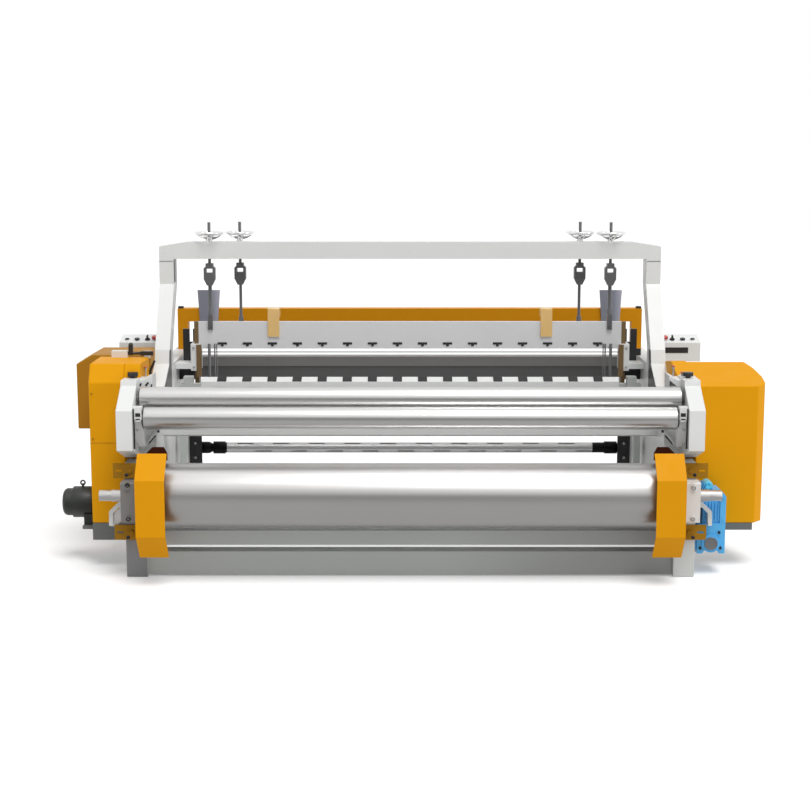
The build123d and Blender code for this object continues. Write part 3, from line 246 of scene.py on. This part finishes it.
def bright_metal(name, colour, roughness=0.12):
    material, tree, shader = new_material(name)
    shader.inputs["Metallic"].default_value = 1.0
    shader.inputs["Base Color"].default_value = (*colour, 1)
    smear = add_noise(tree, 40.0, 3.0)
    tree.links.new(add_range(tree, smear, roughness - 0.05, roughness + 0.1), shader.inputs["Roughness"])
    return material


def plastic(name, colour, roughness=0.45, grain=0.3):
    material, tree, shader = new_material(name)
    speck = add_noise(tree, 600.0, 2.0)
    tone = add_mix(tree, speck, shade(colour, 0.85), shade(colour, 1.15))
    tree.links.new(tone, shader.inputs["Base Color"])
    shader.inputs["Roughness"].default_value = roughness
    add_bump(tree, shader, speck, grain, 0.0002)
    return material


white_enamel = enamel("white_enamel", (0.71, 0.72, 0.71), 0.45, 0.1, 0.02, 0.25, 0.4)
grey_enamel = enamel("grey_enamel", (0.45, 0.465, 0.45), 0.5, 0.05, 0.04, 0.25, 0.3)
base_paint_light_and_shade = enamel("base_paint_light_and_shade", (0.47, 0.485, 0.47), 0.5, 0.05, 0.04, 0.25, 0.3)
cover_enamel = enamel("cover_enamel", (0.15, 0.15, 0.155), 0.45, 0.1, 0.05)
shelf_enamel = enamel("shelf_enamel", (0.14, 0.145, 0.135), 0.5, 0.05, 0.05, 0.25, 0.3)
block_paint_and_shade = enamel("block_paint_and_shade", (0.66, 0.66, 0.65), 0.45, 0.1, 0.03, 0.25, 0.4)
panel_enamel = enamel("panel_enamel", (0.66, 0.66, 0.67), 0.4, 0.2, 0.03)
rest_enamel = enamel("rest_enamel", (0.12, 0.12, 0.12), 0.5, 0.1, 0.06)
yellow_enamel = enamel("yellow_enamel", (0.72, 0.315, 0.002), 0.5, 0.0, 0.02, 0.25, 0.08)
# Painted shade: the guards' yellow is a slightly darker copy of the housings' yellow
guard_paint_and_shade = enamel("guard_paint_and_shade", (0.69, 0.295, 0.002), 0.5, 0.0, 0.02, 0.25, 0.08)
# Painted shade: a darker copy of the housings' yellow, also used for a housing seam and its screw heads
shade_and_joint_ochre = enamel("shade_and_joint_ochre", (0.40, 0.185, 0.012), 0.5, 0.0, 0.03, 0.25, 0.12)
portal_enamel = enamel("portal_enamel", (0.62, 0.25, 0.003), 0.5, 0.0, 0.03, 0.25, 0.12)
blue_enamel = enamel("blue_enamel", (0.075, 0.42, 0.80), 0.36, 0.3, 0.06)
cyan_enamel = enamel("cyan_enamel", (0.10, 0.58, 0.80), 0.36, 0.3, 0.06)
motor_enamel = enamel("motor_enamel", (0.013, 0.016, 0.012), 0.5, 0.1, 0.1)
# Black and dark grey serve both black-painted parts and pieces of painted shade
black_paint_and_shade = enamel("black_paint_and_shade", (0.012, 0.012, 0.013), 0.42, 0.2, 0.2)
dark_grey_paint_and_shade = enamel("dark_grey_paint_and_shade", (0.12, 0.12, 0.12), 0.45, 0.1, 0.08)
tan_enamel = enamel("tan_enamel", (0.74, 0.48, 0.18), 0.4, 0.2, 0.05)
lilac_paint_and_shade = enamel("lilac_paint_and_shade", (0.40, 0.40, 0.48), 0.35, 0.3, 0.08)
brown_enamel = enamel("brown_enamel", (0.16, 0.095, 0.035), 0.45, 0.1, 0.12)
graphite_enamel = enamel("graphite_enamel", (0.10, 0.10, 0.105), 0.4, 0.2, 0.15)
roll_steel = turned_steel("roll_steel", (0.60, 0.59, 0.58), 0.34, 0.25)
draw_steel = turned_steel("draw_steel", (0.66, 0.655, 0.65), 0.30, 0.15)
bar_steel = turned_steel("bar_steel", (0.50, 0.50, 0.50), 0.40, 0.2)
chrome = bright_metal("chrome", (0.80, 0.80, 0.80))
bolt_steel = bright_metal("bolt_steel", (0.45, 0.45, 0.46), 0.3)
black_plastic = plastic("black_plastic", (0.015, 0.015, 0.016))
red_plastic = plastic("red_plastic", (0.45, 0.02, 0.015), 0.3, 0.1)
orange_plastic = plastic("orange_plastic", (0.55, 0.10, 0.01), 0.3, 0.1)
screen_plastic = plastic("screen_plastic", (0.012, 0.013, 0.015), 0.45, 0.02)


def edge_mask(material, axis, start, stop):
    """1 beyond stop, 0 before start, and a soft edge between them."""
    return add_range(material.node_tree, add_place(material.node_tree, axis), 0.0, 1.0, start, stop)


def both(material, first, second):
    return add_math(material.node_tree, "MULTIPLY", first, second)


def away(material, distance, soft=0.001):
    """1 where the surface lies further from the middle plane than this."""
    tree = material.node_tree
    span = add_math(tree, "ABSOLUTE", add_place(tree, "X"), 0.0)
    return add_range(tree, span, 0.0, 1.0, distance, distance + soft)


# Colour that differs from place to place on one piece: mostly painted shade and painted light, and the roller's black
# ends
# Painted shade: the guards' rear folds, behind their front faces, a darker ochre
repaint(guard_paint_and_shade, edge_mask(guard_paint_and_shade, "Y", leg_face - 0.060, leg_face - 0.055), (0.33, 0.165, 0.012))
# Painted shade: the inside of the guards' top rear, dark red-brown
repaint(guard_paint_and_shade, both(guard_paint_and_shade, edge_mask(guard_paint_and_shade, "Y", leg_face - 0.020, leg_face - 0.0165),
                           edge_mask(guard_paint_and_shade, "Z", 0.580, 0.585)), (0.042, 0.009, 0.004))
# Painted shade: the base darker towards the right
repaint(base_paint_light_and_shade, edge_mask(base_paint_light_and_shade, "X", 0.2, 1.25), (0.31, 0.315, 0.31))
# Painted light: the right leg paler
repaint(base_paint_light_and_shade, edge_mask(base_paint_light_and_shade, "X", 1.3, 1.303), (0.56, 0.575, 0.555))
# Painted shade: the left leg darker
repaint(base_paint_light_and_shade, edge_mask(base_paint_light_and_shade, "X", -1.302, -1.305), (0.235, 0.235, 0.24))
# Painted shade: the left bearing blocks dark grey, the right ones pale
repaint(block_paint_and_shade, edge_mask(block_paint_and_shade, "X", 0.0, -0.1), (0.20, 0.20, 0.20))
# The back-rest beam paler above one height near its top
repaint(rest_enamel, edge_mask(rest_enamel, "Z", 0.886, 0.889), (0.24, 0.235, 0.23))
repaint(bar_steel, away(bar_steel, 1.06), (0.012, 0.012, 0.013))
# Painted shade: the left part of each folded guide plate darker
for side in (-1, 1):
    middle = side * 1.152
    repaint(lilac_paint_and_shade, both(lilac_paint_and_shade, edge_mask(lilac_paint_and_shade, "X", middle + 0.055, middle + 0.015),
                               edge_mask(lilac_paint_and_shade, "X", middle - 0.12, middle - 0.115)), (0.215, 0.225, 0.27))

node_material = {
    "front_base": base_paint_light_and_shade,
    "side_frame_left": white_enamel,
    "side_frame_right": white_enamel,
    "gantry_beam": white_enamel,
    "breast_beam": white_enamel,
    "back_rest_beam": rest_enamel,
    "rear_portal": portal_enamel,
    "rear_base_beam": grey_enamel,
    "roll_bracket_left": white_enamel,
    "roll_bracket_right": white_enamel,
    "nip_arms": white_enamel,
    "take_up_bearings": block_paint_and_shade,
    "roll_guard_left": guard_paint_and_shade,
    "roll_guard_right": guard_paint_and_shade,
    "unloading_arms": white_enamel,
    "drive_housing_left": yellow_enamel,
    "drive_housing_right": yellow_enamel,
    "crank_housing": yellow_enamel,
    "housing_shelves": shelf_enamel,
    "drive_motor": motor_enamel,
    "gearbox": blue_enamel,
    "roller_brackets": black_paint_and_shade,
    "guide_plates": lilac_paint_and_shade,
    "frame_guides": white_enamel,
    "fork_brackets": black_paint_and_shade,
    "console_left": white_enamel,
    "console_right": white_enamel,
    "displays": screen_plastic,
    "clutch_block": white_enamel,
    "clutch_lever": black_paint_and_shade,
    "take_up_roll": roll_steel,
    "lower_draw_roll": draw_steel,
    "upper_draw_roll": draw_steel,
    "rear_roller": bar_steel,
    "front_handwheel_left": chrome,
    "front_handwheel_right": chrome,
    "rear_handwheel_left": chrome,
    "rear_handwheel_right": chrome,
    "front_panel": panel_enamel,
    "front_clamps": black_paint_and_shade,
    "front_stiles": brown_enamel,
    "front_foot_rail": graphite_enamel,
    "stop_hooks": tan_enamel,
    "front_hangers": graphite_enamel,
    "rear_heald_frame": panel_enamel,
    "rear_hangers": graphite_enamel,
    "race_board": white_enamel,
    "wire_guides": black_paint_and_shade,
    "sley_rocker": grey_enamel,
    "lift_arms_front": graphite_enamel,
    "lift_arms_rear": graphite_enamel,
    "side_knob_left": black_plastic,
    "side_knob_right": black_plastic,
    "stop_button_left": red_plastic,
    "stop_button_right": red_plastic,
    "selector_left": black_plastic,
    "selector_right": black_plastic,
    "start_button_left": black_plastic,
    "start_button_right": black_plastic,
}
edge_width = {"side_frame": 0.004, "gantry_beam": 0.003, "roll_bracket": 0.005, "drive_housing": 0.006,
              "crank_housing": 0.006, "front_base": 0.004, "take_up_bearings": 0.004, "gearbox": 0.003}

wide_sheets = ("side_frame", "drive_housing", "gantry_beam", "roll_bracket")


def finish_node(name, node):
    """Paint a node and round its sharp edges; wide sheets lose the seams inside their flat faces first."""
    node.data.materials.clear()
    node.data.materials.append(node_material[name])
    weld = node.modifiers.new("weld", "WELD")
    weld.merge_threshold = 0.00002
    if name.startswith(wide_sheets):
        merge = node.modifiers.new("merge", "DECIMATE")
        merge.decimate_type = "DISSOLVE"
        merge.angle_limit = radians(0.3)
    bevel = node.modifiers.new("bevel", "BEVEL")
    bevel.width = next((width for stem, width in edge_width.items() if name.startswith(stem)), 0.0012)
    bevel.segments = 2
    bevel.limit_method = "ANGLE"
    bevel.angle_limit = radians(28)
    bevel.harden_normals = True


for name, node in nodes.items():
    finish_node(name, node)


# Small parts of the machine, in millimetres: across, back from the legs' face, and up
frame_inner, frame_outer, cap_outer = 1274, 1352, 1354
shelf_seat = 879
housing_front, crank_front, crank_rear = 190, 560, 900
crank_outer, crank_bottom, crank_top = 1740, 649, 1038
lid_outer = 1432
nip_face = -31
guide_face = 926
bolt_column = 1376


def at(across, back, high):
    return Vector((across / 1000, leg_face + back / 1000, high / 1000))


def bar(axis, outline, start, end):
    """A straight bar along one axis; its outline runs in the two other measures, in their order."""
    place = {"X": lambda u, v, w: at(w, u, v), "Y": lambda u, v, w: at(u, w, v), "Z": lambda u, v, w: at(u, v, w)}[axis]
    count = len(outline)
    points = [place(u, v, w) for w in (start, end) for u, v in outline]
    faces = [tuple(range(count)), tuple(range(count, 2 * count))]
    faces += [(i, (i + 1) % count, count + (i + 1) % count, count + i) for i in range(count)]
    return points, faces


def block(low_corner, high_corner):
    (x1, y1, z1), (x2, y2, z2) = low_corner, high_corner
    return bar("X", [(y1, z1), (y2, z1), (y2, z2), (y1, z2)], x1, x2)


def strip(axis, first, second, wide, start, end):
    """A flat strip between two points of an outline, this wide, from start to end along the axis."""
    along = Vector((second[0] - first[0], second[1] - first[1])).normalized() * wide / 2
    side = Vector((-along.y, along.x))
    outline = [Vector(first) - side, Vector(second) - side, Vector(second) + side, Vector(first) + side]
    return bar(axis, [(point.x, point.y) for point in outline], start, end)


def turned(place, direction, profile, sides=28):
    """A round part about a direction; its profile is pairs of distance along and radius."""
    turn = Vector(direction).to_track_quat("Z", "Y")
    points, faces = [], []
    for along, radius in profile:
        for i in range(sides):
            angle = 2 * pi * i / sides
            points.append(at(*place) + turn @ Vector((radius * cos(angle), radius * sin(angle), along)) / 1000)
    for ring in range(len(profile) - 1):
        for i in range(sides):
            a, b = ring * sides + i, ring * sides + (i + 1) % sides
            faces.append((a, b, b + sides, a + sides))
    faces += [tuple(range(sides)), tuple(range(len(points) - sides, len(points)))]
    return points, faces


def socket_bolt(place, direction, radius, head):
    """A socket-head bolt that stands on the place, with the hollow of its key."""
    profile = [(-2, radius), (head * 0.82, radius), (head, radius * 0.88), (head, radius * 0.56),
               (head * 0.45, radius * 0.52), (head * 0.40, radius * 0.1)]
    return turned(place, direction, profile)


def mirrored(shapes):
    """The same shapes on both sides of the machine."""
    other = [([Vector((-p.x, p.y, p.z)) for p in points], faces) for points, faces in shapes]
    return shapes + other


def add_piece(name, shapes, material, body="frame", edge=0.6):
    """One piece of one paint from several shapes, with its sharp edges rounded, on its body."""
    mesh = bpy.data.meshes.new(name)
    points, faces = [], []
    for own_points, own_faces in shapes:
        faces += [tuple(len(points) + index for index in face) for face in own_faces]
        points += own_points
    mesh.from_pydata(points, [], faces)
    mesh.materials.append(material)
    shape = bmesh.new()
    shape.from_mesh(mesh)
    bmesh.ops.recalc_face_normals(shape, faces=shape.faces)
    for face in shape.faces:
        face.smooth = True
    shape.to_mesh(mesh)
    shape.free()
    piece = bpy.data.objects.new(name, mesh)
    bpy.context.scene.collection.objects.link(piece)
    bevel = piece.modifiers.new("bevel", "BEVEL")
    bevel.width = edge / 1000
    bevel.segments = 2
    bevel.limit_method = "ANGLE"
    bevel.angle_limit = radians(32)
    bevel.harden_normals = True
    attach(piece, body)
    return piece


def add_covers():
    """The crank's cover with its slanted shoulder, the hood before it, and the lid's rear end."""
    outline = [(-frame_outer, crank_bottom), (-crank_outer, crank_bottom), (-crank_outer, 991), (-1657, crank_top),
               (-frame_outer, crank_top)]
    # The crank's cover in the darker ochre: painted shade over the housings' yellow
    shell = add_piece("crank_shell", [bar("Y", outline, crank_front, crank_rear)], shade_and_joint_ochre,
                      edge=5)
    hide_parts("crank_housing")
    hood = bar("X", [(202, 965), (202.5, 971), (239, 1036), (318, 1036), (318, 965)], -lid_outer, -frame_outer)
    add_piece("left_hood", [hood], yellow_enamel, edge=3)
    lid = bar("X", [(515, 936), (515, 1010), (560, 1009), (712, 986), (712, 936)], 1351.5, lid_outer)
    add_piece("right_lid_end", [lid], yellow_enamel, edge=3)
    rail = block((-1386, 556, 1020), (-1353, 572, 1060))
    add_piece("clutch_rail", [rail], white_enamel, edge=2)
    seams = [block((-1606, 188.5, 640), (-1434, 191, 642))]
    add_piece("housing_seams", seams, shade_and_joint_ochre, edge=0.4)
    heads = [socket_bolt((x, housing_front, z), (0, -1, 0), 5, 3) for x in (-1592, -1446) for z in (662, 890)]
    add_piece("housing_screws", heads, shade_and_joint_ochre, edge=0.4)


def add_frame_caps():
    """White castings on the side frames' shelves, with painted shade where their slots and holes show, and plates of
    painted shade on the frames' inner faces.
    """
    front = [(1290, shelf_seat), (1290, 983), (1335, 960), (cap_outer, 960), (cap_outer, shelf_seat)]
    rear = [(328, shelf_seat), (328, 950), (520, 899), (510, shelf_seat)]
    caps = [bar("Y", front, 196, 330), bar("X", rear, 1336, cap_outer)]
    add_piece("frame_caps", mirrored(caps), white_enamel, edge=3)
    # Painted shade: black strips where the caps' slots and holes show, and a black plate beside the left cap
    plate = [(-frame_outer, 878), (-frame_outer, 966), (-1326, 1020), (-1316, 1016), (-1338, 962), (-1338, 878)]
    cuts = [strip("Y", (-frame_outer, 928), (-1343, 943), 8, 193, 197),
            strip("Y", (-1322, 930), (-1307, 948), 9, 193, 197),
            strip("Y", (-1294, 924), (-1291, 938), 7, 193, 197),
            bar("Y", [(1293, 958), (1293, 930), (1328, 930)], 193, 197),
            bar("Y", plate, 497, 503)]
    add_piece("cap_slot_shade", cuts, black_paint_and_shade, edge=0.4)
    # Painted shade: dark plates on the side frames' inner faces; the right one also carries a black bar by the fork
    # bracket
    slope = [(500, 780), (500, shelf_seat), (686, 971), (709, 1045), (748, 1045), (748, 780)]
    inner, outer = frame_inner - 3.5, frame_inner + 1
    fork_bar = block((1183, 1060, 972), (outer, 1074, 1010))
    add_piece("right_shade_plate_and_bar", [bar("X", slope, inner, outer), fork_bar], black_paint_and_shade, edge=0.6)
    add_piece("left_shade_plate", [bar("X", slope, -outer, -inner)], dark_grey_paint_and_shade, edge=0.6)
    stems, cups = [], []
    cups_at = ((-1362, 250, 968, 1004), (-1339, 310, 956, 1014), (1328, 300, 956, 1018), (1364, 255, 968, 992))
    for x, back, foot, tip in cups_at:
        stems.append(turned((x, back, foot), (0, 0, 1), [(0, 7), (4, 7), (5, 4), (tip - foot - 13, 4)]))
        stems.append(turned((x, back, tip - 16), (0, 0, 1), [(0, 5), (2, 8), (9, 8), (10, 6)]))
        cups.append(turned((x, back, tip - 7), (0, 0, 1), [(0, 6), (1, 8.5), (6, 8.5), (9, 6), (10, 2)]))
    add_piece("oil_stems", stems, bolt_steel, edge=0.4)
    add_piece("oil_caps", cups, orange_plastic, edge=0.4)


def add_frame_details():
    """Joints, shims and strips of the side frames and the guide shoes, with painted shade on the left post and beside
    the gusset bars.
    """
    joint = block((1277, 925.6, 1499), (1351, 929, 1502))
    add_piece("post_joints", mirrored([joint]), dark_grey_paint_and_shade, edge=0.3)
    # Painted shade: a black strip on the left post's inner face
    add_piece("post_shade_strip", [block((-1275, 932, 1386), (-1271, 988, 1507))], black_paint_and_shade)
    caps = [block((1299, 1444, 1190), (1329, 1476, 1207))]
    add_piece("portal_caps", mirrored(caps), black_plastic, edge=2)
    strips = [block((1133, 921, 872), (1161, 928, 1049)), block((1139, 919.5, 905), (1155, 923, 925))]
    add_piece("stile_strips", mirrored(strips), brown_enamel, edge=1)
    screws = [socket_bolt((1176, guide_face, z), (0, -1, 0), 6, 5) for z in (925, 1030)]
    add_piece("shoe_screws", mirrored(screws), bolt_steel, edge=0.4)
    braces = [strip("Y", (1261, 712), (1338, 624), 13, 118, 130)]
    add_piece("gusset_bars", mirrored(braces), white_enamel, edge=2)
    dark = [bar("Y", [(1262, 690), (1306, 640), (1290, 690)], 124, 130), block((1247, 119, 706), (1257, 130, 718))]
    add_piece("gusset_shadows", mirrored(dark), black_paint_and_shade, edge=0.6)


def add_roll_details():
    """Bearing covers at the ends of the draw rolls, and painted shade in the clearances of the nip arms."""
    rings = [turned((1345, 120, 879), (1, 0, 0), [(-14, 30), (-14, 50), (-5, 50), (-5, 30)], 40),
             turned((1314, 30, 794), (1, 0, 0), [(-8, 30), (-8, 47), (-2, 47), (-2, 30)], 40)]
    add_piece("roll_seals", mirrored(rings), black_plastic)
    # Painted shade: black blocks in the nip arms' windows, between white bars
    window_shade = [block((1314, -36, 812), (1338, -28, 829)), block((1316, -36, 796), (1337, -28, 801))]
    add_piece("nip_window_shade", mirrored(window_shade), black_paint_and_shade, edge=0.6)
    bars = [block((1313, -38, 803), (1339, -28, 809)), block((1313, -38, 788), (1339, -28, 793))]
    add_piece("nip_bars", mirrored(bars), white_enamel, edge=1)
    heads = [socket_bolt((1331, nip_face, z), (0, -1, 0), 8, 8) for z in (676, 748)]
    add_piece("nip_bolts", mirrored(heads), bolt_steel, edge=0.4)
    # Painted shadow: black strips along the nip arms' inner edges
    gap_shadows = [block((1342, -34, 652), (1350, -30, 782)), block((1344, -34, 782), (1351, -30, 850))]
    add_piece("nip_gap_shadows", mirrored(gap_shadows), black_paint_and_shade, edge=0.4)


def add_take_up_details():
    """Bolts of the bearing blocks, guards and arms, and the webs behind the arms."""
    dark = [socket_bolt((-bolt_column, -90, z), (0, -1, 0), 11, 10) for z in (485, 317)]
    dark += [socket_bolt((side * bolt_column, -106, z), (0, -1, 0), 9, 8) for side in (-1, 1) for z in (538, 228)]
    add_piece("dark_bolts", dark, black_paint_and_shade, edge=0.5)
    pale = [socket_bolt((bolt_column, -90, z), (0, -1, 0), 11, 10) for z in (472, 317)]
    pale += [socket_bolt((side * 1240, 1401, z), (0, -1, 0), 8, 7) for side in (-1, 1) for z in (416, 332)]
    add_piece("pale_bolts", pale, bolt_steel, edge=0.5)
    left = bar("Y", [(-1420, 362), (-1481, 306), (-1484, 255), (-1458, 254), (-1417, 290)], 14, 24)
    add_piece("left_arm_web", [left], white_enamel, edge=2)
    right = bar("Y", [(1394, 371), (1437, 333), (1427, 288), (1396, 297)], 14, 24)
    add_piece("right_arm_web", [right], dark_grey_paint_and_shade, edge=2)


def add_drive_details():
    """The gearbox's cover, bolts, cap and fins."""
    disc = turned((1492, 40, 163), (0, -1, 0), [(-4, 33), (15, 33), (17, 31), (17, 27), (15, 26), (15, 2)], 40)
    add_piece("gearbox_cover", [disc], cover_enamel, edge=1)
    bolts = [socket_bolt((x, 38, z), (0, -1, 0), 7, 7) for x, z in ((1440, 200), (1532, 218), (1440, 138), (1540, 140))]
    add_piece("gearbox_bolts", bolts, black_paint_and_shade, edge=0.5)
    cap = turned((1481, 150, 446), (0, -1, 0), [(0, 22), (70, 22), (74, 19), (74, 8), (71, 7), (71, 1)], 36)
    add_piece("gearbox_cap", [cap], cyan_enamel, edge=1)
    fins = [strip("Y", (x, 428), (x + 13, 458), 5, 60, 150) for x in range(1412, 1460, 11)]
    add_piece("gearbox_fins", fins, blue_enamel, edge=0.8)


def add_console_details():
    """Dark caps of the consoles' lamps."""
    caps = [turned((1571, 1134, 1049.5), (0, -0.242, 0.970), [(-3, 13), (7, 13), (9, 11), (9, 7), (7, 6), (7, 1)])]
    add_piece("lamp_caps", mirrored(caps), black_plastic, edge=0.5)


add_covers()
add_console_details()
add_frame_caps()
add_frame_details()
add_roll_details()
add_take_up_details()
add_drive_details()

add_camera()
add_world(0.45)
add_floor()
add_sun("key", 66, 24, 2.25, 30)
add_sun("rim", 18, 72, 0.5, 20)
add_flag("upright_flag", leg_face - 5.0, leg_face - 5.0, 0.0, 2.3, 5.0, 0.22)
add_flag("floor_flag", leg_face + 0.1, leg_face - 5.0, 0.004, 0.004, 4.0, 0.5)

bpy.context.scene.view_settings.view_transform = "Standard"
